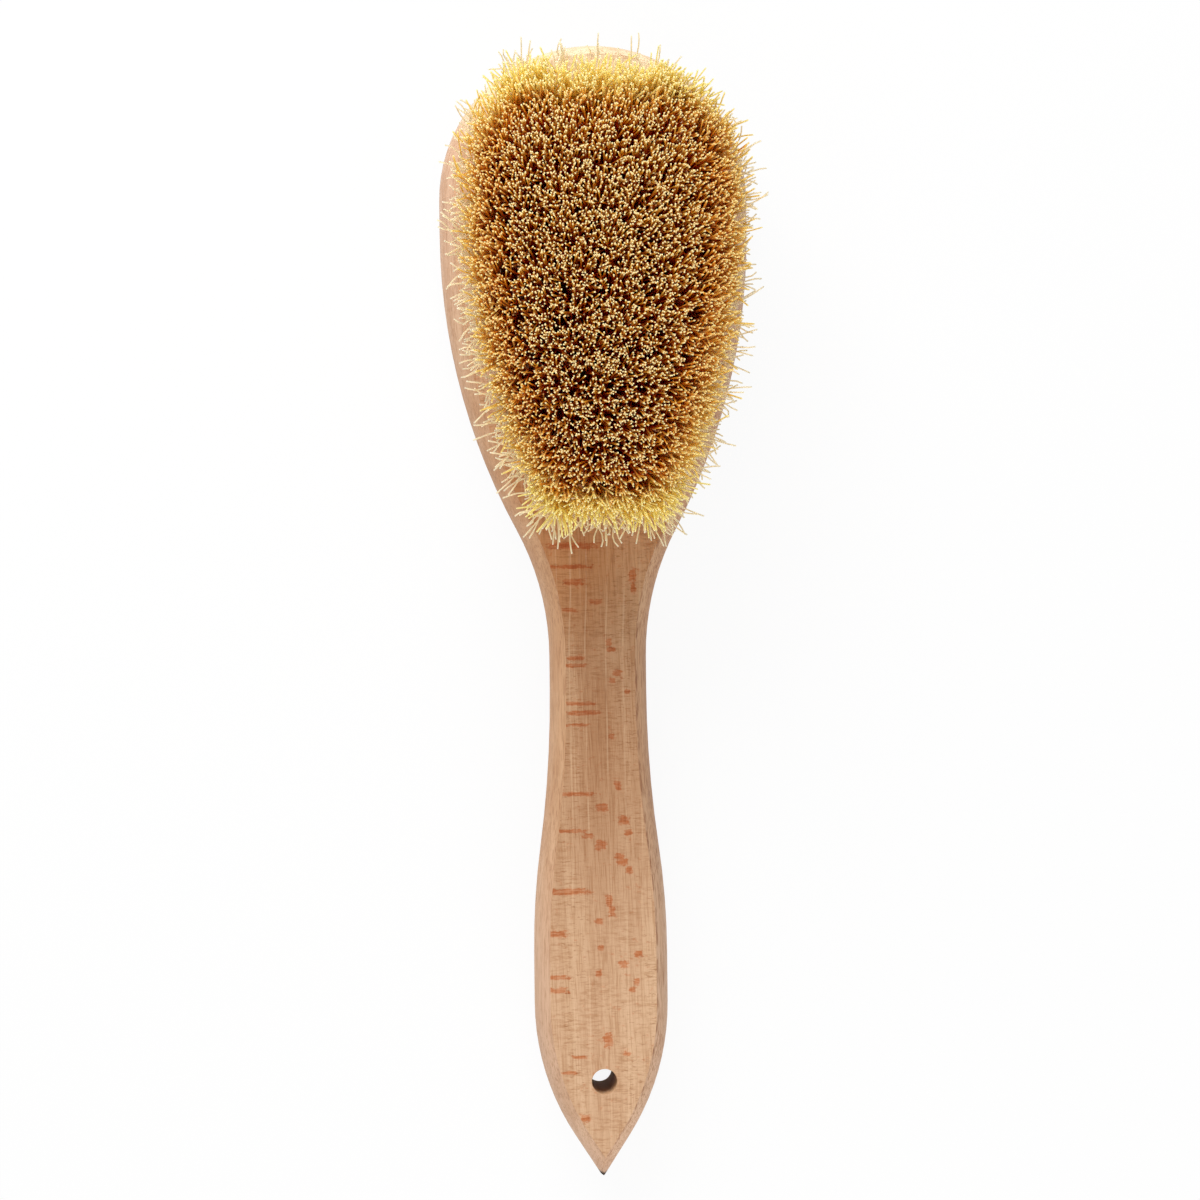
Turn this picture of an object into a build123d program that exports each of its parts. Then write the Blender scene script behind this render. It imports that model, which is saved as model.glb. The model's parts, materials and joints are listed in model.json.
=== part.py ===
from build123d import *
import math
import os

# Vegetable brush: a one-piece beech head and handle, with tufts of plant fibre stapled into drilled holes.
# Lengths are in millimetres. Z points up, out of the bristle side, and the brush lies on its flat back at Z 0.
# Y runs along the brush, the head towards +Y and the point of the handle towards -Y, with X across.

# Outline of the beech body, from the head's round end down to the point of the handle
head_radius = 30.7
head_straight = 6.8
shoulder_length = 84.2
shoulder_convex_share = 0.7
neck_half_width = 9.65
neck_straight = 6.8
swell_length = 52.0
swell_concave_share = 0.6
grip_half_width = 13.3
grip_straight = 10.3
point_length = 34.2
point_half_angle = 33.0
blunt_half_width = 0.5

# Section of the beech body: flat front and back, with sides that bulge in one arc
board_thickness = 18.0
side_bulge = 2.8
side_lap = 1.0

# Hanging hole through the handle
hanging_hole_radius = 2.5
hanging_hole_setback = 19.4
hanging_hole_chamfer = 0.1

# Drilled holes for the tufts, in rows across the head that fan outwards
first_row_setback = 17.5
field_length = 70.0
field_margin = 12.2
tuft_hole_radius = 2.25
tuft_hole_depth = 11.0
tuft_web = 1.5
lean_angle_across = 9.0
lean_angle_along = 8.0

# Tufts: each a bundle folded under its staple, whose ends stand up as strands and are trimmed level
bristle_length = 28.0
trim_variation = 0.5
tuft_clearance = 0.05
bundle_rise = 2.5
strand_root_depth = 1.2
ring_strands = 6
ring_radius_share = 0.66
strand_width_share = 0.48
tip_flare_share = 1.75
flare_variation_share = 0.05
golden_turn = 137.5

# Staples: flat wire bars that hold the folds down and bite into the wood at both ends
staple_height = 1.6
staple_thickness = 0.4
staple_bite = 0.35
staple_clearance = 0.02
fold_depth = 1.2

overrun = 1.0

# Places along Y, where one stretch of the outline passes into the next
overall_length = (
    head_radius + head_straight + shoulder_length + neck_straight + swell_length + grip_straight + point_length
)
head_end = overall_length / 2
head_centre = head_end - head_radius
shoulder_start = head_centre - head_straight
neck_start = shoulder_start - shoulder_length
neck_end = neck_start - neck_straight
grip_start = neck_end - swell_length
grip_end = grip_start - grip_straight
handle_end = grip_end - point_length


def s_curve(width_change, length, first_share):
    """Turn in degrees and both radii of the two tangent arcs that move a straight side across by width_change."""
    turn = 2 * math.atan(width_change / length)
    both_radii = length / math.sin(turn)
    return math.degrees(turn), both_radii * first_share, both_radii * (1 - first_share)


shoulder_turn, shoulder_convex_radius, shoulder_concave_radius = s_curve(
    head_radius - neck_half_width, shoulder_length, shoulder_convex_share
)
swell_turn, swell_concave_radius, swell_convex_radius = s_curve(
    grip_half_width - neck_half_width, swell_length, swell_concave_share
)
point_sine = math.sin(math.radians(point_half_angle))
point_cosine = math.cos(math.radians(point_half_angle))
point_radius = (point_length * point_sine - (grip_half_width - blunt_half_width) * point_cosine) / (
    1 - point_cosine
)
point_arc_half_width = grip_half_width - point_radius * (1 - point_cosine)


def field_half_width(y):
    """Half the width of the drilled field at y: the head's outline, moved in square to itself by the margin."""
    if y >= head_centre:
        return math.sqrt(max((head_radius - field_margin) ** 2 - (y - head_centre) ** 2, 0))
    if y >= shoulder_start:
        return head_radius - field_margin
    convex_radius = shoulder_convex_radius - field_margin
    if shoulder_start - y <= convex_radius * math.sin(math.radians(shoulder_turn)):
        return head_radius - shoulder_convex_radius + math.sqrt(convex_radius**2 - (shoulder_start - y) ** 2)
    concave_radius = shoulder_concave_radius + field_margin
    concave_rise = max(y - neck_start, 0)
    return neck_half_width + shoulder_concave_radius - math.sqrt(concave_radius**2 - concave_rise**2)


least_pitch = 2 * tuft_hole_radius + tuft_web
row_gaps = max(math.floor(field_length / least_pitch), 1)
row_pitch = field_length / row_gaps
first_row = head_end - first_row_setback
field_centre = first_row - field_length / 2
widest_reach = head_radius - field_margin


def row_places(row):
    """The (x, y) of each tuft hole in a row, spread evenly over the field's width."""
    y = first_row - row * row_pitch
    reach = field_half_width(y)
    gaps = math.floor(2 * reach / least_pitch)
    if gaps < 1:
        return [(0, y)]
    return [(reach * (2 * place / gaps - 1), y) for place in range(gaps + 1)]


def lean(place):
    """How far a tuft at (x, y) leans across and along for each unit of height, more the further out it stands."""
    x, y = place
    across = math.tan(math.radians(lean_angle_across)) * x / widest_reach
    along = math.tan(math.radians(lean_angle_along)) * (y - field_centre) / (field_length / 2)
    return across, along


def mouth_plane(place):
    """The plane across a tuft hole's mouth, square to the hole, with its own X along the brush."""
    return Plane(origin=(*place, board_thickness), x_dir=(0, 1, 0), z_dir=(*lean(place), 1))


rows = [row_places(row) for row in range(row_gaps + 1)]
all_mouths = [mouth_plane(place) for places in rows for place in places]

staple_length = 2 * (tuft_hole_radius + staple_bite)
staple_depth = tuft_hole_depth - fold_depth
bundle_radius = tuft_hole_radius - tuft_clearance
bundle_depth = tuft_hole_depth - tuft_clearance
ring_radius = bundle_radius * ring_radius_share
strand_width = bundle_radius * strand_width_share
strand_root = bundle_rise - strand_root_depth


def staple_seats(mouths):
    """The spaces that the staples press open for themselves, a clearance larger all round."""
    with BuildPart() as seats:
        with BuildSketch(*[mouth.offset(-staple_depth - staple_clearance) for mouth in mouths]):
            Rectangle(staple_length + 2 * staple_clearance, staple_thickness + 2 * staple_clearance)
        extrude(amount=staple_height + 2 * staple_clearance)
    return seats.part


def strand(place, number, position):
    """One strand of a tuft: a straight square prism, from inside its bundle to its trimmed tip.

    Position 0 is the strand in the tuft's middle, and the others make a ring round it.
    """
    across, along = lean(place)
    turn = math.radians(golden_turn * number + 360 / ring_strands * position)
    wave = math.sin(math.radians(golden_turn * (number * (ring_strands + 1) + position)))
    reach = ring_radius * min(position, 1)
    outwards = Vector(math.cos(turn), math.sin(turn))
    mouth = Vector(*place, board_thickness)
    upwards = Vector(across, along, 1)
    root = mouth + upwards * strand_root + outwards * reach
    tip_reach = reach * tip_flare_share * (1 + flare_variation_share * wave)
    tip = mouth + upwards * (bristle_length + trim_variation * wave) + outwards * tip_reach
    with BuildSketch(Plane(origin=root, x_dir=outwards, z_dir=tip - root)) as section:
        Rectangle(strand_width, strand_width)
    return extrude(section.sketch, amount=(tip - root).length, mode=Mode.PRIVATE)


os.makedirs("parts", exist_ok=True)

# Right side of the outline, seen from above, from the middle of the head's end to the point
with BuildLine() as right_side:
    head_arc = JernArc((0, head_end), (1, 0), head_radius, -90)
    head_line = Line(head_arc @ 1, (head_radius, shoulder_start))
    shoulder_convex = JernArc(head_line @ 1, (0, -1), shoulder_convex_radius, -shoulder_turn)
    shoulder_concave = JernArc(shoulder_convex @ 1, shoulder_convex % 1, shoulder_concave_radius, shoulder_turn)
    neck_line = Line(shoulder_concave @ 1, (neck_half_width, neck_end))
    swell_concave = JernArc(neck_line @ 1, (0, -1), swell_concave_radius, swell_turn)
    swell_convex = JernArc(swell_concave @ 1, swell_concave % 1, swell_convex_radius, -swell_turn)
    grip_line = Line(swell_convex @ 1, (grip_half_width, grip_end))
    point_arc = JernArc(grip_line @ 1, (0, -1), point_radius, -point_half_angle)
    point_line = PolarLine(point_arc @ 1, point_arc_half_width / point_sine, direction=point_arc % 1)

# The same path, run on past the brush's middle line so that both sides meet in a clean point
with BuildLine() as side_path:
    add(right_side.line)
    PolarLine(point_line @ 1, overrun, direction=point_line % 1)

# Wooden body: a band whose edge bulges, swept round the outline, with a flat core inside it
with BuildPart() as wooden_body:
    with BuildSketch(Plane(origin=(0, head_end, 0), x_dir=(0, 1, 0), z_dir=(1, 0, 0))):
        with BuildLine():
            ThreePointArc((-side_bulge, 0), (0, board_thickness / 2), (-side_bulge, board_thickness))
            Polyline(
                (-side_bulge, board_thickness),
                (-side_bulge - 2 * side_lap, board_thickness),
                (-side_bulge - 2 * side_lap, 0),
                (-side_bulge, 0),
            )
        make_face()
    sweep(path=side_path.wire())
    split(bisect_by=Plane.YZ)
    mirror(about=Plane.YZ)
    with BuildSketch():
        with BuildLine():
            add(right_side.line)
            mirror(about=Plane.YZ)
        make_face()
        offset(amount=-side_bulge - side_lap)
    extrude(amount=board_thickness)
    # The very tip is worn blunt
    split(bisect_by=Plane.XZ.offset(-handle_end), keep=Keep.BOTTOM)
    # The hanging hole, with its edges broken on both faces
    with Locations((0, handle_end + hanging_hole_setback, board_thickness)):
        Hole(hanging_hole_radius)
    chamfer(wooden_body.edges(Select.LAST).filter_by(GeomType.CIRCLE), hanging_hole_chamfer)
    with Locations(*all_mouths):
        Hole(tuft_hole_radius, tuft_hole_depth)
    add(staple_seats(all_mouths), mode=Mode.SUBTRACT)
wooden_body.part.label = "wooden_body"
export_step(wooden_body.part, "parts/wooden_body.step")

# Tufts and the staples that hold them, row by row from the head's end
tuft_number = 0
for row, places in enumerate(rows):
    mouths = [mouth_plane(place) for place in places]
    strands = []
    for place in places:
        strands += [strand(place, tuft_number, position) for position in range(ring_strands + 1)]
        tuft_number += 1

    with BuildPart() as tuft_row:
        with BuildSketch(*[mouth.offset(-bundle_depth) for mouth in mouths]):
            Circle(bundle_radius)
        extrude(amount=bundle_depth + bundle_rise)
        add(staple_seats(mouths), mode=Mode.SUBTRACT)
        add(strands)
    tuft_row.part.label = f"tuft_row_{row + 1:02d}"
    export_step(tuft_row.part, f"parts/{tuft_row.part.label}.step")

    with BuildPart() as staple_row:
        with BuildSketch(*[mouth.offset(-staple_depth) for mouth in mouths]):
            Rectangle(staple_length, staple_thickness)
        extrude(amount=staple_height)
    staple_row.part.label = f"staple_row_{row + 1:02d}"
    export_step(staple_row.part, f"parts/{staple_row.part.label}.step")

print("tufts", tuft_number, "strands", tuft_number * (ring_strands + 1))
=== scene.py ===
import json
import math

import bmesh
import bpy
import numpy as np
from mathutils import Matrix, Vector


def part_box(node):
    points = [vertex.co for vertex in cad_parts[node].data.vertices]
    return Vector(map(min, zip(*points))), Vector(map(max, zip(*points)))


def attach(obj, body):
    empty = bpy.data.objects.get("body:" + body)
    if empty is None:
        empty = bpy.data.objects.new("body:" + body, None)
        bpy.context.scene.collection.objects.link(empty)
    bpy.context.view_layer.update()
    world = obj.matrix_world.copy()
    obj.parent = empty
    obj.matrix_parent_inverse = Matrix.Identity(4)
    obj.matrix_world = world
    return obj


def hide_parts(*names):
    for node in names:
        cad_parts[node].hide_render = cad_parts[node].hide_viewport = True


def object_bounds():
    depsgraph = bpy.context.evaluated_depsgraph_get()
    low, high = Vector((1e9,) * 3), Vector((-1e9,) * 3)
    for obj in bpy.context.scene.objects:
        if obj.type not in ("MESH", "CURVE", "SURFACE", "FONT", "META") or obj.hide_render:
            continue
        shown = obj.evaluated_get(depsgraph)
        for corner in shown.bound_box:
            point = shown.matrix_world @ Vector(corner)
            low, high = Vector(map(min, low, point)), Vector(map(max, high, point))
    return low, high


# A wooden vegetable brush, seen from above with its bristles towards the camera.
# Lengths are in metres in the frame, unless a name ends in _MM.
# +Y runs to the head's end, +X to the right and +Z out of the bristles.

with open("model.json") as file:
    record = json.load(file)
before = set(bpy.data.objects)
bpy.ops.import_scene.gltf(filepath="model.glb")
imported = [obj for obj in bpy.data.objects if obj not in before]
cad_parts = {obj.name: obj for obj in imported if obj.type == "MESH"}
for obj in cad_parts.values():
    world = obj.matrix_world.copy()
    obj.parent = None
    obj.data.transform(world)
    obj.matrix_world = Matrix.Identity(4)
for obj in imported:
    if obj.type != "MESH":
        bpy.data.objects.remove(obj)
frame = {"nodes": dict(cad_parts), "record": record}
CAD_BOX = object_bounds()
HANGING_HOLE = next(mount for mount in frame["record"]["mounts"] if mount["name"] == "hanging_hole")

MM = 0.001

# Camera, nearly straight above the brush
CAMERA_TARGET = Vector((0.6, 1.9, 9.0)) * MM
CAMERA_DISTANCE = 640 * MM
CAMERA_SIDE_ANGLE = math.radians(3.5)
CAMERA_ROLL = math.radians(0.59)
VIEW_WIDTH = 240 * MM

# Bristles: fibres of each tuft, from their fold down in the wood to their cut ends
FIBRES_PER_TUFT = 158
FIBRE_RADIUS = 0.155 * MM
FIBRE_RADIUS_VARIATION = 0.15
FIBRE_SIDES = 5
FIBRE_SEGMENTS = 7
BUNDLE_RADIUS = 2.0 * MM
STAPLE_GAP = 0.42 * MM
FOLD_LIFT = 0.4 * MM
SPREAD_AT_ROOT = 0.04
SPREAD_AT_TIP = 0.18
SLOPE_JITTER = 0.05
BEND_JITTER = 0.3
TRIM_VARIATION = 0.4 * MM
SHORT_SHARE = 0.3
SHORTEST = 4.0 * MM
LONGEST_FIBRE_SHARE = 1.05

# Edge of the bristle field, where fibres bend outwards with nothing beside them
EDGE_DEPTH = 9.0 * MM
EDGE_SHARPNESS = 1.4
EDGE_BLEND = 1.5 * MM
EDGE_BEND = 0.29
EDGE_BEND_TURN = math.radians(35.0)
EDGE_POWER = 3.5
LEAST_BEND_SHARE = 0.2
CORNER_HOLD = 1.7
LOWER_GAIN = 1.5
TOP_GAIN = 1.0
OUTWARD_SPREAD_SHARE = 0.15
SIDEWAYS_SPREAD_SHARE = 1.5

# The painted light of the field's edge, its pale colour, reaches less far in at its sides, and further in at
# its ends
PAINTED_LIGHT_SIDES_LOSS = 0.065
PAINTED_LIGHT_ENDS_GAIN = 0.05

# Stray fibres, which leave the tufts at the edge one by one and curl
EDGE_TUFT = 0.8
STRAYS_PER_TUFT = 58
STRAY_SEGMENTS = 20
STRAY_TURN = math.radians(38.0)
STRAY_BEND = (0.35, 1.3)
STRAY_POWER = 2.2
STRAY_LENGTH_SHARE = (0.6, 1.03)
STRAY_RADIUS_SHARE = 0.95
CURL_SLOPE = 1.05
CURL_WAVES = (1.4, 3.2)

# Fibre colours, from root to end: among the other fibres, saturated and darker towards the root as painted
# shade;
# near the field's edge, golden as half painted light and half painted shade; and right at it, pale as painted
# light.
# Then those of strays and of cut ends, whose cream is a painted highlight, and how much light passes through
# the sides and the cut ends.
INNER_ROOT_PAINTED_SHADE = (0.99, 0.38, 0.01)
INNER_END_PAINTED_SHADE = (0.85, 0.55, 0.08)
GOLD_ROOT_PAINTED_HALF_SHADE = (0.99, 0.52, 0.02)
GOLD_END_PAINTED_HALF_SHADE = (0.92, 0.57, 0.07)
EDGE_ROOT_PAINTED_LIGHT = (1.0, 0.80, 0.24)
PAINTED_LIGHT_AND_PALE_TONE_END = (1.0, 0.92, 0.50)
STRAY_PALE = (1.0, 0.93, 0.75)
CUT_END_PAINTED_HIGHLIGHT = (1.0, 0.88, 0.50)
SIDE_TRANSLUCENCY = 0.75
END_TRANSLUCENCY = 0.25
FIBRE_ROUGHNESS = 0.6
FIBRE_SPECULAR = 0.12

# Where one fibre colour passes into another: from, to, and the strengths there if they aren't 0 and 1
INNER_ALONG = (0.75, 0.96)
OUTER_ALONG = (0.2, 0.97)
GOLD_AT_EDGE = (0.55, 0.85)
PALE_AT_EDGE = (0.86, 1.0)
PALE_BY_TONE = (0.3, 1, 0, 0.2)
# The painted highlight of the cut ends also covers the last of each fibre, and is weaker near the field's
# edge
CUT_ALONG = (0.97, 0.985, 0, 0.85)
CUT_AT_EDGE = (0.5, 0.9, 1, 0.5)

# Light passes through many fibres on its way
FIBRE_BOUNCES = 20

# Beech colours: the flat faces from grip to head, with painted shade at the neck and painted light just below
# the bristles and on the head; the sides, painted paler as a painted sheen; then single places, with a
# painted highlight on the head's end
FLAT_GRIP = (0.62, 0.39, 0.236)
FLAT_NECK_TONE_AND_PAINTED_SHADE = (0.425, 0.22, 0.107)
FLAT_SHOULDER_TONE_AND_PAINTED_LIGHT = (0.54, 0.255, 0.106)
FLAT_HEAD_PALE_AND_PAINTED_LIGHT = (0.70, 0.47, 0.30)
SIDE_PAINTED_SHEEN = (0.69, 0.435, 0.28)
SIDE_NECK_TONE_AND_PAINTED_SHADE = (0.59, 0.32, 0.16)
END_PAINTED_HIGHLIGHT = (0.88, 0.70, 0.46)
POINT_DARK = (0.035, 0.02, 0.012)
HOLE_DARK = (0.58, 0.36, 0.20)
GRAIN_PALE = (0.74, 0.51, 0.32)

# Tints that multiply the beech colours
GRAIN_TINT = (0.74, 0.62, 0.50)
LINE_TINT = (0.66, 0.52, 0.40)
FLECK_TINT = (0.84, 0.46, 0.27)

# Beech surface: rougher where its pores are, with a fine relief of pores and lines
WOOD_ROUGHNESS = (0.3, 0.7, 0.48, 0.62)
HOLE_ROUGHNESS = 0.75
WOOD_SPECULAR = 0.3
RELIEF_HEIGHT = 0.08 * MM
RELIEF_STRENGTH = 0.25
LINE_RELIEF_SHARE = 0.6

# The grain runs a little off the brush's own line
GRAIN_TURN = math.radians(-2.0)

# Noises in the wood, some along the grain and some along the brush.
# Each is (fineness for each mm across, along and upwards), (shift), detail, roughness.
NOISES_WITH_GRAIN = {
    "broad": ((0.15, 0.03, 0.15), (0, 0, 0), 3, 0.5),
    "bands": ((0.42, 0.004, 0.25), (0, 0, 0), 3, 0.65),
    "lines": ((2.6, 0.02, 1.5), (7, 0, 0), 3, 0.6),
    "pores": ((7, 0.5, 7), (0, 0, 0), 3, 0.7),
    "threads": ((3.6, 0.14, 1.5), (1, 0, 0), 2, 0.5),
}
NOISES_WITH_BRUSH = {
    "rays": ((0.42, 2.4, 0.42), (0, 0, 0), 3, 0.7),
    "dashes": ((0.75, 3.4, 0.75), (0, 3, 0), 2, 0.6),
    "mottle": ((0.8, 1.1, 0.8), (0, 0, 0), 3, 0.6),
    "wander": ((0, 0.03, 0), (0, 0, 0), 2, 0.5),
    "patches": ((0.2, 0.12, 0.2), (5, 0, 0), 2, 0.5),
    "side_lines": ((4.2, 0.17, 3.2), (0, 0, 0), 3, 0.6),
    "ragged": ((1.1, 1.7, 1.1), (0, 0, 4), 3, 0.7),
    "breaks": ((0.8, 0.3, 0.8), (0, 0, 0), 3, 0.5),
}

# How strongly each noise shows: from this much of it, to this much, and the strengths there if not 0 and 1
BROAD_SHARE = (0.35, 0.7, 0, 0.3)
BAND_SHARE = (0.4, 0.62, 0, 0.4)
LINE_SHARE = (0.58, 0.72, 0, 0.3)
PORE_SHARE = (0.52, 0.72, 0, 0.45)
SIDE_LINE_SHARE = (0.53, 0.58)
RAY_SHARE = (0.44, 0.66)
RAYS_IN_PATCHES = (0.4, 0.6, 0.15, 0.75)
THREAD_SHARE = (0.5, 0.6)
THREADS_IN_PATCHES = (0.6, 0.4, 0.25, 0.65)
DASH_SHARE = (0.58, 0.68, 0, 0.8)
DASHES_IN_BROAD = (0.42, 0.58, 0.2, 1)
SEAMS_IN_PATCHES = (0.4, 0.6, 0.2, 1)
FRECKLE_SHARE = (0.6, 0.75, 0, 0.5)
FLECKS_IN_RAYS = (0.35, 0.6, 0.6, 1)
EDGE_LINE_BREAKS = (0.45, 0.58, 0.1, 1)

# Edges of the flecks: where they fade, 1 being at their side, and how ragged they are
FLECK_FADE = (1.2, 0.7)
FLECK_RAGGEDNESS = 2.2

# Where the wood changes, from and to: along the brush, across it, upwards, and out from the hole's wall
GRIP_TO_NECK_MM = (-82, -20)
NECK_TO_SHOULDER_MM = (-14, 12)
SHOULDER_TO_HEAD_MM = (22, 60)
HEAD_SIDES_TO_NECK_MM = (75, 25)
HEAD_END_MM = (90, 104)
WORN_POINT_MM = (-111.2, -112.1)
LEFT_TO_RIGHT_MM = (-2, 2)
UPPER_EDGE_MM = (17.1, 17.6)
HOLE_WALL_MM = (0.12, 0.04)
SIDE_LINES_ON_LEFT = 0.6
EDGE_LINE_ON_LEFT = 0.3

# How upright a face's normal is where it passes from side to flat
SIDE_TO_FLAT = (0.8, 0.95)

# Drawn steel wire of the staples, with the fineness of its marks for each metre
STAPLE_DARK = (0.42, 0.42, 0.44)
STAPLE_PALE = (0.62, 0.62, 0.64)
STAPLE_ROUGHNESS = (0.2, 0.8, 0.25, 0.45)
STAPLE_MARKS = (9000, 300, 9000)
STAPLE_MARK_DETAIL = 3

# Soft boxes, as (place), size, watts: past the head's end, high on the left, and low past the handle
LAMPS = {
    "key": ((-0.18, 0.55, 0.42), 0.5, 5.0),
    "fill": ((-0.45, -0.5, 0.9), 0.9, 2.1),
    "low": ((0.15, -0.6, 0.33), 0.5, 2.3),
}
WORLD_STRENGTH = 0.4

# Floor, a hair below the brush: it takes the shadow, and the camera sees it nearly white
FLOOR_COLOUR = (0.8, 0.8, 0.8)
FLOOR_GLOW = 0.92
FLOOR_HALF = 3.0
FLOOR_HEIGHT = -0.2 * MM

# Ray flecks on the front, as (x, y, half width across, half length along): streaks, then spots
RAY_STREAKS_MM = (
    (-5.2, 12.6, 5, 0.7), (-5.5, 8.5, 4, 0.4), (-5, 5.5, 2, 0.6), (-6, 0, 1.6, 0.4), (-1, 1.5, 1.4, 0.5),
    (-5, -9.5, 2.2, 0.4), (-5, -11, 2.2, 0.4), (-4, -18.5, 3.2, 0.4), (-3.5, -20.3, 3.4, 0.5),
    (-4.5, -22.7, 2.4, 0.3), (-5, -36.3, 3.5, 0.45), (-6.3, -43.6, 3, 0.35), (-6.5, -55.5, 4, 0.6),
    (-9, -63.8, 1.8, 0.7), (-9, -72.4, 2, 0.45), (-9, -75, 2, 0.6), (-5, -88.2, 1.5, 0.35),
    (-6.7, -91.2, 1.5, 0.4),
)
RAY_SPOTS_MM = (
    (6.5, 6.6, 0.7, 1.5), (6.6, 4, 0.6, 0.9), (1.6, -6.4, 0.6, 0.9), (2.2, -7.9, 0.8, 0.5),
    (3.4, -12.5, 1, 0.6), (2.3, -14, 0.6, 0.5), (5.3, -16.2, 0.5, 0.5), (2, -25, 0.6, 0.6),
    (0, -39, 1.1, 0.8), (3.2, -34.7, 0.7, 0.9), (4.4, -41.6, 1, 0.9), (5.3, -44, 0.8, 0.6),
    (-2.8, -44.6, 1.1, 0.5), (-0.3, -46.4, 1.1, 1), (3.3, -48.7, 1, 0.6), (4, -49.8, 1.2, 0.7),
    (5.3, -51.3, 0.7, 0.8), (1.2, -57.4, 0.7, 1.2), (1.8, -59.4, 0.7, 1.2), (-0.8, -61.4, 0.9, 0.6),
    (7, -68, 0.8, 0.7), (-0.5, -66.7, 0.6, 0.6), (4, -70, 0.9, 0.7), (-0.9, -71.7, 0.7, 0.7),
    (6.5, -73.5, 0.6, 0.7), (5.7, -75, 0.7, 0.5), (0.8, -85, 0.9, 1.5), (4.5, -87.6, 0.8, 0.5),
    (-3.8, -100.2, 1, 0.8),
)

# Thin pale lines of grain along the front, by their place across it
SEAMS_MM = (-5.9, -2.8, 1.3, 4.7, 7.8)
SEAM_HALF_WIDTH_MM = 0.11
SEAM_WANDER_MM = 1.6
SEAM_STRENGTH = 0.3

# How the tufts are read from the CAD solids
WELD = 0.001 * MM
FOOT_SLICE = 0.8 * MM
HEAD_SLICE = 1.5 * MM

# One seed, so that each run gives the same fibres
SEED = 11


class Nodes:
    """Short forms for making linked shader nodes in one material."""

    # Places of the two colours among a Mix node's inputs, and of the mixed one among its outputs
    FIRST_COLOUR = 6
    SECOND_COLOUR = 7
    MIXED_COLOUR = 2

    def __init__(self, name):
        self.material = bpy.data.materials.new(name)
        self.material.use_nodes = True
        self.tree = self.material.node_tree
        self.tree.nodes.clear()

    def add(self, kind, inputs=None, **settings):
        """A node of this kind, with its settings, and its inputs set or linked by name or number."""
        node = self.tree.nodes.new("ShaderNode" + kind)
        for name, value in settings.items():
            setattr(node, name, value)
        for name, value in (inputs or {}).items():
            socket = node.inputs[name]
            if isinstance(value, bpy.types.NodeSocket):
                self.tree.links.new(value, socket)
            else:
                socket.default_value = (*value, 1) if socket.type == "RGBA" else value
        return node

    def math(self, operation, first, second=0.0):
        return self.add("Math", {0: first, 1: second}, operation=operation).outputs[0]

    def mix(self, share, first, second, blend="MIX"):
        """first and second mixed as colours, with this share of the second."""
        inputs = {"Factor": share, self.FIRST_COLOUR: first, self.SECOND_COLOUR: second}
        node = self.add("Mix", inputs, data_type="RGBA", blend_type=blend, clamp_factor=True)
        return node.outputs[self.MIXED_COLOUR]

    def ramp(self, value, low, high, start=0.0, end=1.0):
        """value eased from start to end as it goes from low to high."""
        limits = {"Value": value, "From Min": low, "From Max": high, "To Min": start, "To Max": end}
        return self.add("MapRange", limits, interpolation_type="SMOOTHSTEP").outputs[0]

    def scaled(self, vector, scale, shift=(0, 0, 0)):
        """vector with each axis multiplied by its own scale, then moved by shift."""
        inputs = {"Vector": vector, "Scale": scale, "Location": shift}
        return self.add("Mapping", inputs).outputs[0]

    def noise(self, vector, detail, roughness=0.5):
        inputs = {"Vector": vector, "Scale": 1.0, "Detail": detail, "Roughness": roughness}
        return self.add("TexNoise", inputs).outputs["Fac"]

    def attribute(self, name):
        return self.add("Attribute", attribute_name=name).outputs["Fac"]

    def bump(self, height, strength, distance):
        inputs = {"Height": height, "Strength": strength, "Distance": distance}
        return self.add("Bump", inputs).outputs[0]

    def finish(self, shader):
        self.add("OutputMaterial", {"Surface": shader})
        return self.material


def nearest_of(nodes, place_mm, places):
    """How far out a point is from the nearest of these flecks, 1 being at its side.

    Each is a rectangle with round corners, given by its middle and its half width and length.
    """
    nearest = None
    for x, y, across, along in places:
        out = nodes.scaled(place_mm, (1 / across, 1 / along, 0), (-x / across, -y / along, 0))
        out_squared = nodes.add("VectorMath", {0: out, 1: out}, operation="MULTIPLY").outputs[0]
        span = nodes.add("VectorMath", {0: out_squared}, operation="LENGTH").outputs[1]
        nearest = span if nearest is None else nodes.math("MINIMUM", nearest, span)
    return nodes.math("SQRT", nearest)


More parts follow.
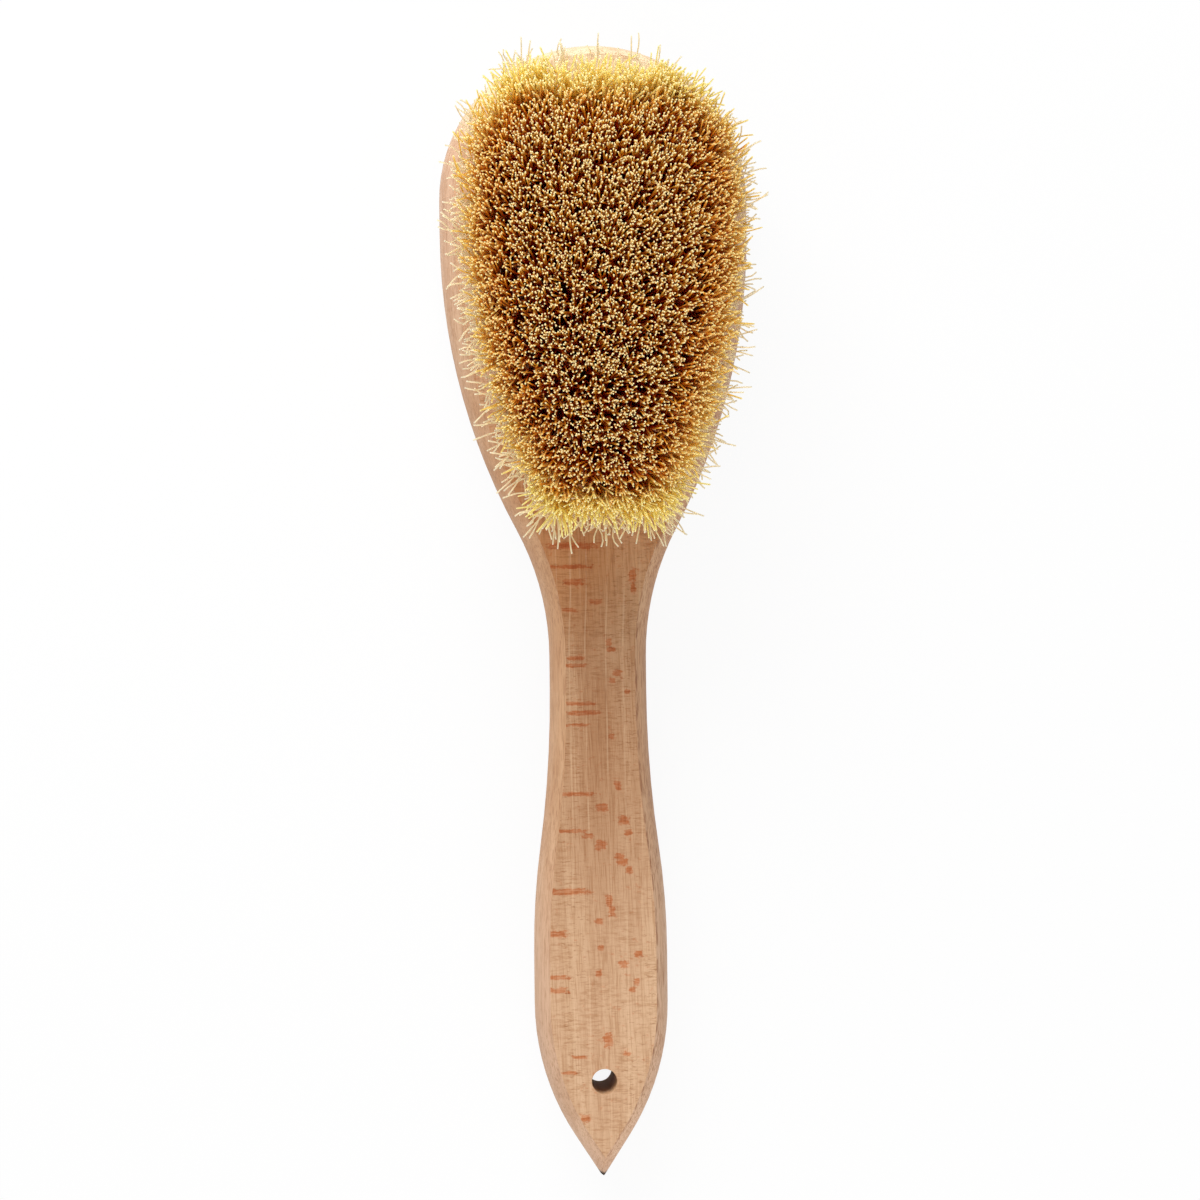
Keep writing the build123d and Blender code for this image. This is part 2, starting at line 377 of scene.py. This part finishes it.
def beech_material():
    """Oiled beech: straight grain all over, with ray flecks and a fine weave of rays on the flat faces."""
    nodes = Nodes("beech_oiled")
    place = nodes.add("TexCoord").outputs["Object"]
    place_mm = nodes.scaled(place, (1 / MM, 1 / MM, 1 / MM))
    axes = nodes.add("SeparateXYZ", {0: place_mm}).outputs
    normal = nodes.add("SeparateXYZ", {0: nodes.add("NewGeometry").outputs["Normal"]}).outputs
    flat_face = nodes.ramp(nodes.math("ABSOLUTE", normal["Z"]), *SIDE_TO_FLAT)
    front_face = nodes.ramp(normal["Z"], *SIDE_TO_FLAT)
    side_face = nodes.math("SUBTRACT", 1.0, flat_face)

    grain_place = nodes.add("Mapping", {"Vector": place_mm, "Rotation": (0, 0, GRAIN_TURN)}).outputs[0]
    noise = {}
    for where, noises in ((grain_place, NOISES_WITH_GRAIN), (place_mm, NOISES_WITH_BRUSH)):
        for name, (fineness, shift, detail, roughness) in noises.items():
            noise[name] = nodes.noise(nodes.scaled(where, fineness, shift), detail, roughness)

    # Red at the neck, the wood's own tone, and darkened there as painted shade from the bristles, paler
    # towards the handle's point as that painted shade fades; lighter just below the bristles and on the head
    # as painted light; palest at the head's end as a painted highlight
    toward_neck = nodes.ramp(axes["Y"], *GRIP_TO_NECK_MM)
    toward_head = nodes.ramp(axes["Y"], *NECK_TO_SHOULDER_MM)
    at_end = nodes.ramp(axes["Y"], *HEAD_END_MM)
    neck_only = nodes.math("MULTIPLY", toward_neck, nodes.ramp(axes["Y"], *HEAD_SIDES_TO_NECK_MM))
    flat = nodes.mix(toward_head, nodes.mix(toward_neck, FLAT_GRIP, FLAT_NECK_TONE_AND_PAINTED_SHADE), FLAT_SHOULDER_TONE_AND_PAINTED_LIGHT)
    flat = nodes.mix(nodes.ramp(axes["Y"], *SHOULDER_TO_HEAD_MM), flat, FLAT_HEAD_PALE_AND_PAINTED_LIGHT)
    # The sides are painted paler than the flat faces, as a painted sheen
    side = nodes.mix(neck_only, SIDE_PAINTED_SHEEN, SIDE_NECK_TONE_AND_PAINTED_SHADE)
    colour = nodes.mix(at_end, nodes.mix(side_face, flat, side), END_PAINTED_HIGHLIGHT)
    colour = nodes.mix(nodes.ramp(noise["broad"], *BROAD_SHARE), colour, GRAIN_PALE)
    colour = nodes.mix(nodes.ramp(noise["bands"], *BAND_SHARE), colour, GRAIN_TINT, "MULTIPLY")
    colour = nodes.mix(nodes.ramp(noise["lines"], *LINE_SHARE), colour, GRAIN_PALE)
    colour = nodes.mix(nodes.ramp(noise["pores"], *PORE_SHARE), colour, GRAIN_TINT, "MULTIPLY")

    # Dark broken lines of grain on the sides
    side_lines = nodes.math("MULTIPLY", side_face, nodes.ramp(noise["side_lines"], *SIDE_LINE_SHARE))
    on_side = nodes.ramp(axes["X"], *LEFT_TO_RIGHT_MM, SIDE_LINES_ON_LEFT, 1)
    colour = nodes.mix(nodes.math("MULTIPLY", side_lines, on_side), colour, LINE_TINT, "MULTIPLY")

    # Fine weave of rays and threads on the flat faces
    for lines, share, in_patches in (
        ("rays", RAY_SHARE, RAYS_IN_PATCHES),
        ("threads", THREAD_SHARE, THREADS_IN_PATCHES),
    ):
        patchy = nodes.ramp(noise["patches"], *in_patches)
        weave = nodes.math("MULTIPLY", nodes.ramp(noise[lines], *share), patchy)
        colour = nodes.mix(nodes.math("MULTIPLY", weave, flat_face), colour, GRAIN_TINT, "MULTIPLY")
    dashed = nodes.math("MULTIPLY", flat_face, nodes.ramp(noise["dashes"], *DASH_SHARE))
    dashed = nodes.math("MULTIPLY", dashed, nodes.ramp(noise["broad"], *DASHES_IN_BROAD))
    colour = nodes.mix(dashed, colour, LINE_TINT, "MULTIPLY")

    # A few thin pale lines cross the weave
    seam_place = nodes.math("ADD", axes["X"], nodes.math("MULTIPLY", noise["wander"], SEAM_WANDER_MM))
    for seam in SEAMS_MM:
        from_seam = nodes.math("ABSOLUTE", nodes.math("SUBTRACT", seam_place, seam + SEAM_WANDER_MM / 2))
        on_seam = nodes.ramp(from_seam, 2 * SEAM_HALF_WIDTH_MM, SEAM_HALF_WIDTH_MM / 2, 0, SEAM_STRENGTH)
        on_seam = nodes.math("MULTIPLY", on_seam, nodes.ramp(noise["patches"], *SEAMS_IN_PATCHES))
        colour = nodes.mix(nodes.math("MULTIPLY", on_seam, flat_face), colour, GRAIN_PALE)

    # Flecks where a ray lies in the surface
    freckles = nodes.math("MULTIPLY", flat_face, nodes.ramp(noise["mottle"], *FRECKLE_SHARE))
    colour = nodes.mix(freckles, colour, FLECK_TINT, "MULTIPLY")
    ragged = nodes.math("MULTIPLY", nodes.math("SUBTRACT", noise["ragged"], 0.5), FLECK_RAGGEDNESS)
    for places in (RAY_STREAKS_MM, RAY_SPOTS_MM):
        nearest = nodes.math("ADD", nearest_of(nodes, place_mm, places), ragged)
        inside = nodes.ramp(nearest, *FLECK_FADE)
        strength = nodes.math("MULTIPLY", inside, nodes.ramp(noise["rays"], *FLECKS_IN_RAYS))
        colour = nodes.mix(nodes.math("MULTIPLY", strength, front_face), colour, FLECK_TINT, "MULTIPLY")

    # A thin, broken dark line of grain along the sides' upper edge, mostly on the right
    near_edge = nodes.math("MULTIPLY", side_face, nodes.ramp(axes["Z"], *UPPER_EDGE_MM))
    on_side = nodes.ramp(axes["X"], *LEFT_TO_RIGHT_MM, EDGE_LINE_ON_LEFT, 1)
    edge_line = nodes.math("MULTIPLY", near_edge, on_side)
    edge_line = nodes.math("MULTIPLY", edge_line, nodes.ramp(noise["breaks"], *EDGE_LINE_BREAKS))
    colour = nodes.mix(edge_line, colour, LINE_TINT, "MULTIPLY")

    # The worn point and the wall of the hanging hole are darker
    worn = nodes.ramp(axes["Y"], *WORN_POINT_MM)
    colour = nodes.mix(worn, colour, POINT_DARK)
    hole_x, hole_y, _ = (value / MM for value in HANGING_HOLE["pos_m"])
    hole_radius = HANGING_HOLE["dims"]["r_mm"]
    from_hole = nodes.scaled(place_mm, (1, 1, 0), (-hole_x, -hole_y, 0))
    from_hole = nodes.add("VectorMath", {0: from_hole}, operation="LENGTH").outputs[1]
    in_hole = nodes.ramp(from_hole, *(hole_radius + beyond for beyond in HOLE_WALL_MM))
    colour = nodes.mix(in_hole, colour, HOLE_DARK)

    dull = nodes.math("MAXIMUM", nodes.math("MULTIPLY", in_hole, HOLE_ROUGHNESS), worn)
    height = nodes.math("ADD", noise["pores"], nodes.math("MULTIPLY", noise["lines"], LINE_RELIEF_SHARE))
    shader = nodes.add("BsdfPrincipled", {
        "Base Color": colour,
        "Roughness": nodes.math("MAXIMUM", nodes.ramp(noise["pores"], *WOOD_ROUGHNESS), dull),
        "Specular IOR Level": WOOD_SPECULAR,
        "Normal": nodes.bump(height, RELIEF_STRENGTH, RELIEF_HEIGHT),
    })
    return nodes.finish(shader.outputs[0])


def fibre_material():
    """Plant fibre: pale at the cut ends as a painted highlight, and round the field's edge as painted light;
    golden brown among the other fibres, darker and redder towards the roots as painted shade.
    """
    nodes = Nodes("bristle_fibre")
    along = nodes.attribute("along")
    edge = nodes.attribute("edge")
    tone = nodes.attribute("tone")
    cut_end = nodes.attribute("cut_end")
    stray = nodes.attribute("stray")
    # Painted shade among the fibres, darker towards the roots, passing into painted light at the field's
    # edge; the pale end colour also serves the fibres of a paler tone
    inner = nodes.mix(nodes.ramp(along, *INNER_ALONG), INNER_ROOT_PAINTED_SHADE, INNER_END_PAINTED_SHADE)
    upwards = nodes.ramp(along, *OUTER_ALONG)
    gold = nodes.mix(upwards, GOLD_ROOT_PAINTED_HALF_SHADE, GOLD_END_PAINTED_HALF_SHADE)
    pale = nodes.mix(upwards, EDGE_ROOT_PAINTED_LIGHT, PAINTED_LIGHT_AND_PALE_TONE_END)
    colour = nodes.mix(nodes.ramp(edge, *GOLD_AT_EDGE), inner, gold)
    colour = nodes.mix(nodes.ramp(edge, *PALE_AT_EDGE), colour, pale)
    colour = nodes.mix(nodes.ramp(tone, *PALE_BY_TONE), colour, PAINTED_LIGHT_AND_PALE_TONE_END)
    # Painted highlight on the cut ends and the last of each fibre, weaker at the field's edge
    end_highlight = nodes.math("MAXIMUM", cut_end, nodes.ramp(along, *CUT_ALONG))
    end_highlight = nodes.math("MULTIPLY", end_highlight, nodes.ramp(edge, *CUT_AT_EDGE))
    colour = nodes.mix(end_highlight, colour, CUT_END_PAINTED_HIGHLIGHT)
    colour = nodes.mix(stray, colour, STRAY_PALE)
    shader = nodes.add("BsdfPrincipled", {
        "Base Color": colour,
        "Roughness": FIBRE_ROUGHNESS,
        "Specular IOR Level": FIBRE_SPECULAR,
    })
    through = nodes.add("BsdfTranslucent", {"Color": colour})
    share_through = nodes.ramp(cut_end, 0, 1, SIDE_TRANSLUCENCY, END_TRANSLUCENCY)
    shown = nodes.add("MixShader", {0: share_through, 1: shader.outputs[0], 2: through.outputs[0]})
    return nodes.finish(shown.outputs[0])


def staple_material():
    """Drawn steel wire, bright, with fine lengthwise marks."""
    nodes = Nodes("staple_wire")
    place = nodes.add("TexCoord").outputs["Object"]
    marks = nodes.noise(nodes.scaled(place, STAPLE_MARKS), detail=STAPLE_MARK_DETAIL)
    shader = nodes.add("BsdfPrincipled", {
        "Base Color": nodes.mix(marks, STAPLE_DARK, STAPLE_PALE),
        "Metallic": 1.0,
        "Roughness": nodes.ramp(marks, *STAPLE_ROUGHNESS),
    })
    return nodes.finish(shader.outputs[0])


def tufts_of(node):
    """The mouth, the lean and the foot of each tuft in a CAD row, from its solids."""
    solids = bmesh.new()
    solids.from_mesh(frame["nodes"][node].data)
    bmesh.ops.remove_doubles(solids, verts=solids.verts, dist=WELD)
    left = set(solids.verts)
    found = []
    while left:
        start = min(left, key=lambda vert: tuple(vert.co))
        solid, reached = {start}, [start]
        while reached:
            for link in reached.pop().link_edges:
                for vert in link.verts:
                    if vert not in solid:
                        solid.add(vert)
                        reached.append(vert)
        left -= solid
        places = np.array([vert.co for vert in solid])
        heights = places[:, 2]
        foot = places[heights < heights.min() + FOOT_SLICE].mean(0)
        head = places[heights > heights.max() - HEAD_SLICE].mean(0)
        lean = (head - foot) / (head[2] - foot[2])
        found.append((foot + lean * (BOARD_TOP - foot[2]), lean, foot))
    solids.free()
    return [np.array(values) for values in zip(*found)]


def hull_of(points):
    """The convex outline of points in the plane, counter-clockwise."""
    points = sorted(map(tuple, points))

    def half(ordered):
        chain = []
        for point in ordered:
            while len(chain) > 1:
                last_side = np.subtract(chain[-1], chain[-2])
                if np.cross(last_side, np.subtract(point, chain[-1])) > 0:
                    break
                chain.pop()
            chain.append(point)
        return chain[:-1]

    return np.array(half(points) + half(points[::-1]))


def edge_of_field(places, outline):
    """For each place, how near it is to the field's outline, from 0 to 1, and the way outwards there."""
    starts = outline
    ways = np.roll(outline, -1, axis=0) - starts
    lengths = np.linalg.norm(ways, axis=1)
    from_start = places[:, None, :] - starts[None]
    shares = np.clip((from_start * ways).sum(2) / lengths**2, 0, 1)
    nearest = starts + shares[:, :, None] * ways
    gaps = np.linalg.norm(places[:, None, :] - nearest, axis=2)
    least = gaps.min(1)
    side = gaps.argmin(1)
    inside = np.cross(ways[side], places - starts[side]) > 0
    depth = np.where(inside, least, 0)
    side_ways_out = np.stack([ways[:, 1], -ways[:, 0]], 1) / lengths[:, None]
    outwards = np.exp(-(gaps - least[:, None]) / EDGE_BLEND) @ side_ways_out
    outwards /= np.linalg.norm(outwards, axis=1, keepdims=True)
    return np.clip(1 - depth / EDGE_DEPTH, 0, 1), outwards


def turned(ways, angles):
    """Ways in the plane, each turned by its own angle."""
    cosines, sines = np.cos(angles), np.sin(angles)
    return np.stack([ways[:, 0] * cosines - ways[:, 1] * sines, ways[:, 0] * sines + ways[:, 1] * cosines], 1)


def edge_gain(places, outwards, outline):
    """How strongly each place lets its fibres bend out.

    They bend more at the field's two ends, and a little inwards at its upper right.
    """
    to_right, to_top = np.maximum(outwards, 0).T
    # 1 where the way out is as much to the right as to the top
    corner = (2 * to_right * to_top) ** 2
    lowest, highest = outline[:, 1].min(), outline[:, 1].max()
    lower = np.clip((highest - places[:, 1]) / (highest - lowest), 0, 1)
    return (1 - CORNER_HOLD * corner) * (1 + LOWER_GAIN * lower**2 + TOP_GAIN * to_top**4)


def in_tuft(count, random):
    """Random places in a round tuft of radius 1."""
    turn = random.uniform(0, 2 * math.pi, count)
    reach = np.sqrt(random.uniform(0, 1, count))
    return np.stack([reach * np.cos(turn), reach * np.sin(turn)], 1)


def unit_paths(slopes):
    """Points along fibres of length 1, as (fibre, point, 3), from their slopes for each unit of height."""
    steps = np.concatenate([slopes, np.ones((*slopes.shape[:2], 1))], axis=2)
    steps /= np.linalg.norm(steps, axis=2, keepdims=True)
    steps = np.concatenate([np.zeros((len(steps), 1, 3)), steps], axis=1)
    return np.cumsum(steps, axis=1) / slopes.shape[1]


def from_folds(tufts, offset, paths):
    """The same paths, moved to their places in the tufts, each with the point before it at its fold."""
    mouths, _, feet = tufts
    roots = mouths + np.column_stack([offset, np.zeros(len(offset))])
    beside = np.copysign(np.maximum(np.abs(offset[:, 0]), STAPLE_GAP), offset[:, 0])
    folds = feet + np.column_stack([beside, offset[:, 1], np.full(len(offset), FOLD_LIFT)])
    return np.concatenate([folds[:, None], roots[:, None] + paths], axis=1)


def segment_shares(segments):
    """How far along each segment's middle is, shaped for (fibre, segment, axis)."""
    return ((np.arange(segments) + 0.5) / segments)[None, :, None]


def fibres_of(tufts, outline, random):
    """The trimmed fibres of these tufts: paths from fold to cut end, radii, and nearness to the edge, which
    sets their painted light.
    """
    tufts = [np.repeat(values, FIBRES_PER_TUFT, axis=0) for values in tufts]
    mouths, leans, _ = tufts
    count = len(mouths)
    spread = in_tuft(count, random)
    offset = spread * BUNDLE_RADIUS
    edge, outwards = edge_of_field(mouths[:, :2] + offset, outline)

    # Near the edge a tuft opens sideways along it, and outwards less, to meet its neighbours
    outward_share = (spread * outwards).sum(1, keepdims=True)
    sideways_part = spread - outward_share * outwards
    outward_part = np.maximum(outward_share, 0) * outwards
    change = sideways_part * (SIDEWAYS_SPREAD_SHARE - 1) + outward_part * (OUTWARD_SPREAD_SHARE - 1)
    spread = spread + change * edge[:, None]

    bend = edge**EDGE_SHARPNESS * EDGE_BEND * edge_gain(mouths, outwards, outline)
    bend *= random.uniform(LEAST_BEND_SHARE, 1, count)
    bend_way = turned(outwards, random.normal(0, EDGE_BEND_TURN, count)) * bend[:, None]
    jitter = random.normal(0, SLOPE_JITTER, (count, 2))
    bow = random.normal(0, BEND_JITTER, (count, 2))
    share = segment_shares(FIBRE_SEGMENTS)
    slopes = leans[:, None, :2] + jitter[:, None] + bow[:, None] * (share - 0.5)
    slopes = slopes + spread[:, None] * (SPREAD_AT_ROOT + (SPREAD_AT_TIP - SPREAD_AT_ROOT) * share)
    slopes = slopes + bend_way[:, None] * share**EDGE_POWER
    paths = unit_paths(slopes)

    trim = TRIM_HEIGHT - TRIM_VARIATION * random.uniform(0, 2, count)
    trim -= (random.uniform(0, 1, count) < SHORT_SHARE) * random.uniform(0, SHORTEST, count)
    height = trim - BOARD_TOP
    lengths = np.minimum(height / paths[:, -1, 2], height * LONGEST_FIBRE_SHARE)
    paths = from_folds(tufts, offset, paths * lengths[:, None, None])
    radii = FIBRE_RADIUS * (1 + FIBRE_RADIUS_VARIATION * random.uniform(-1, 1, count))
    # The painted light of the edge reaches less far in at the field's sides and further at its ends
    painted_light_reach = 1 - PAINTED_LIGHT_SIDES_LOSS * outwards[:, 0] ** 2 + PAINTED_LIGHT_ENDS_GAIN * outwards[:, 1] ** 2
    return paths, radii, np.minimum(edge * painted_light_reach, 1)


def strays_of(tufts, outline, random):
    """The fibres that leave these tufts at the field's edge and curl, as fibres_of gives them."""
    at_edge = edge_of_field(tufts[0][:, :2], outline)[0] > EDGE_TUFT
    tufts = [np.repeat(values[at_edge], STRAYS_PER_TUFT, axis=0) for values in tufts]
    mouths, leans, _ = tufts
    count = len(mouths)
    spread = in_tuft(count, random)
    outwards = edge_of_field(mouths[:, :2], outline)[1]
    spread *= np.where((spread * outwards).sum(1, keepdims=True) < 0, -1, 1)
    way = turned(outwards, random.normal(0, STRAY_TURN, count))
    gain = np.maximum(edge_gain(mouths, outwards, outline), 0)
    bend = random.uniform(*STRAY_BEND, count) * np.sqrt(gain)
    curl_way = turned(way, random.normal(math.pi / 2, STRAY_TURN, count))
    curl = curl_way * random.normal(0, CURL_SLOPE, (count, 1))
    phase = random.uniform(0, 2 * math.pi, (count, 1, 1))
    waves = random.uniform(*CURL_WAVES, (count, 1, 1))
    share = segment_shares(STRAY_SEGMENTS)
    slopes = leans[:, None, :2] + (way * bend[:, None])[:, None] * share**STRAY_POWER
    slopes = slopes + curl[:, None] * share * np.sin(phase + waves * 2 * math.pi * share)
    paths = unit_paths(slopes)
    height = TRIM_HEIGHT - BOARD_TOP
    lengths = np.minimum(height / paths[:, -1, 2], height * random.uniform(*STRAY_LENGTH_SHARE, count))
    paths = from_folds(tufts, spread * BUNDLE_RADIUS, paths * lengths[:, None, None])
    return paths, np.full(count, FIBRE_RADIUS * STRAY_RADIUS_SHARE), np.ones(count)


def tube_points(paths, radii):
    """Points round each path, as (fibre, ring, side, 3)."""
    ways = np.gradient(paths, axis=1)
    ways /= np.linalg.norm(ways, axis=2, keepdims=True)
    across = np.cross(ways, (0.0, 1.0, 0.0))
    across /= np.linalg.norm(across, axis=2, keepdims=True)
    along = np.cross(ways, across)
    turns = np.arange(FIBRE_SIDES) * 2 * math.pi / FIBRE_SIDES
    rings = across[:, :, None] * np.cos(turns)[None, None, :, None]
    rings = rings + along[:, :, None] * np.sin(turns)[None, None, :, None]
    return paths[:, :, None] + rings * radii[:, None, None, None]


def tube_faces(count, rings, first):
    """The quads round tubes, then their faces at the folds and at the cut ends, from the vertex first on."""
    start = first + np.arange(count)[:, None, None] * rings * FIBRE_SIDES
    ring = np.arange(rings - 1)[None, :, None] * FIBRE_SIDES
    side = np.arange(FIBRE_SIDES)[None, None, :]
    after = (side + 1) % FIBRE_SIDES
    sides = np.stack([
        start + ring + side, start + ring + FIBRE_SIDES + side,
        start + ring + FIBRE_SIDES + after, start + ring + after,
    ], 3).reshape(-1, 4)
    folds = (start[:, :, 0] + side[0]).reshape(-1, FIBRE_SIDES)
    return sides, folds, folds[:, ::-1] + (rings - 1) * FIBRE_SIDES


def bristle_row(node, outline, random, material):
    """One row of tufts as loose fibres, in place of the CAD row's solids."""
    tufts = tufts_of(node)
    points, faces, cut_end, smooth = [], [], [], []
    of_points = {"along": [], "edge": [], "tone": [], "stray": []}
    first = 0
    for is_stray, make in ((0, fibres_of), (1, strays_of)):
        paths, radii, painted_light_shares = make(tufts, outline, random)
        count, rings = paths.shape[:2]
        points += tube_points(paths, radii).reshape(-1, 3).tolist()
        sides, folds, ends = tube_faces(count, rings, first)
        first += count * rings * FIBRE_SIDES
        faces += [*sides.tolist(), *folds.tolist(), *ends.tolist()]
        smooth += [True] * len(sides) + [False] * 2 * count
        cut_end += [0.0] * (len(sides) + count) + [1.0] * count
        # How far along its free length each ring is, which starts at the tuft's mouth
        lengths = np.linalg.norm(np.diff(paths[:, 1:], axis=1), axis=2)
        shares = np.concatenate([np.zeros((count, 2)), np.cumsum(lengths, axis=1)], axis=1)
        shares /= shares[:, -1:]
        of_points["along"].append(np.repeat(shares.ravel(), FIBRE_SIDES))
        tones = random.uniform(0, 1, count)
        # A fibre's edge value sets its painted light at the field's edge, against the painted shade deeper in
        for name, of_fibres in (("edge", painted_light_shares), ("tone", tones), ("stray", np.full(count, is_stray))):
            of_points[name].append(np.repeat(of_fibres, rings * FIBRE_SIDES))

    mesh = bpy.data.meshes.new(node.replace("tuft", "bristle"))
    mesh.from_pydata(points, [], faces)
    mesh.update()
    mesh.polygons.foreach_set("use_smooth", smooth)
    for name, values in of_points.items():
        layer = mesh.attributes.new(name, "FLOAT", "POINT")
        layer.data.foreach_set("value", np.concatenate(values).astype(np.float32))
    mesh.attributes.new("cut_end", "FLOAT", "FACE").data.foreach_set("value", cut_end)

    row = bpy.data.objects.new(mesh.name, mesh)
    bpy.context.scene.collection.objects.link(row)
    mesh.materials.append(material)
    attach(row, "root")
    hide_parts(node)
    return row


def dress(node, material):
    """Gives a CAD node this material in every slot."""
    for slot in frame["nodes"][node].material_slots:
        slot.material = material


def add_floor():
    """A white floor that keeps the brush's shadow."""
    nodes = Nodes("floor_white")
    paths = nodes.add("LightPath").outputs
    seen = nodes.math("MAXIMUM", paths["Is Camera Ray"], paths["Is Glossy Ray"])
    seen = nodes.math("MAXIMUM", seen, paths["Is Transmission Ray"])
    lit = nodes.add("BsdfDiffuse", {"Color": FLOOR_COLOUR}).outputs[0]
    white = nodes.add("Emission", {"Color": (1, 1, 1), "Strength": 1.0}).outputs[0]
    glow = nodes.math("MULTIPLY", seen, FLOOR_GLOW)
    shown = nodes.add("MixShader", {0: glow, 1: lit, 2: white}).outputs[0]
    mesh = bpy.data.meshes.new("floor")
    signs = ((-1, -1), (1, -1), (1, 1), (-1, 1))
    corners = [(x * FLOOR_HALF, y * FLOOR_HALF, FLOOR_HEIGHT) for x, y in signs]
    mesh.from_pydata(corners, [], [(0, 1, 2, 3)])
    mesh.materials.append(nodes.finish(shown))
    floor = bpy.data.objects.new("floor", mesh)
    bpy.context.scene.collection.objects.link(floor)


def add_lamp(name, place, size, watts):
    """A square soft box that faces the brush."""
    lamp = bpy.data.lights.new(name, "AREA")
    lamp.size = size
    lamp.energy = watts
    box = bpy.data.objects.new(name, lamp)
    box.location = place
    box.rotation_euler = (CAMERA_TARGET - Vector(place)).to_track_quat("-Z", "Y").to_euler()
    bpy.context.scene.collection.objects.link(box)


def add_camera():
    """The camera, nearly straight above, a little to the left."""
    data = bpy.data.cameras.new("camera")
    data.sensor_fit = "HORIZONTAL"
    data.angle = 2 * math.atan(VIEW_WIDTH / 2 / CAMERA_DISTANCE)
    back = Vector((-math.sin(CAMERA_SIDE_ANGLE), 0, math.cos(CAMERA_SIDE_ANGLE)))
    upwards = Vector((math.sin(CAMERA_ROLL), math.cos(CAMERA_ROLL), 0))
    right = upwards.cross(back).normalized()
    turn = Matrix((right, back.cross(right), back)).transposed()
    camera = bpy.data.objects.new("camera", data)
    camera.matrix_world = Matrix.LocRotScale(CAMERA_TARGET + back * CAMERA_DISTANCE, turn, None)
    bpy.context.scene.collection.objects.link(camera)
    bpy.context.scene.camera = camera


def add_world():
    """Even pale light from all round."""
    world = bpy.data.worlds.new("world")
    world.use_nodes = True
    background = world.node_tree.nodes["Background"]
    background.inputs["Color"].default_value = (1, 1, 1, 1)
    background.inputs["Strength"].default_value = WORLD_STRENGTH
    bpy.context.scene.world = world


BOARD_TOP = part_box("wooden_body")[1].z
TRIM_HEIGHT = CAD_BOX[1].z
tuft_rows = sorted(name for name in frame["nodes"] if name.startswith("tuft_row"))
staple_rows = sorted(name for name in frame["nodes"] if name.startswith("staple_row"))

random = np.random.default_rng(SEED)
outline = hull_of(np.concatenate([tufts_of(node)[0][:, :2] for node in tuft_rows]))
fibre = fibre_material()
for node in tuft_rows:
    bristle_row(node, outline, random, fibre)
dress("wooden_body", beech_material())
staple_wire = staple_material()
for node in staple_rows:
    dress(node, staple_wire)

add_floor()
add_world()
for name, (place, size, watts) in LAMPS.items():
    add_lamp(name, place, size, watts)
add_camera()
bpy.context.scene.view_settings.view_transform = "Standard"
bpy.context.scene.cycles.max_bounces = FIBRE_BOUNCES
bpy.context.scene.cycles.diffuse_bounces = FIBRE_BOUNCES
bpy.context.scene.cycles.transmission_bounces = FIBRE_BOUNCES
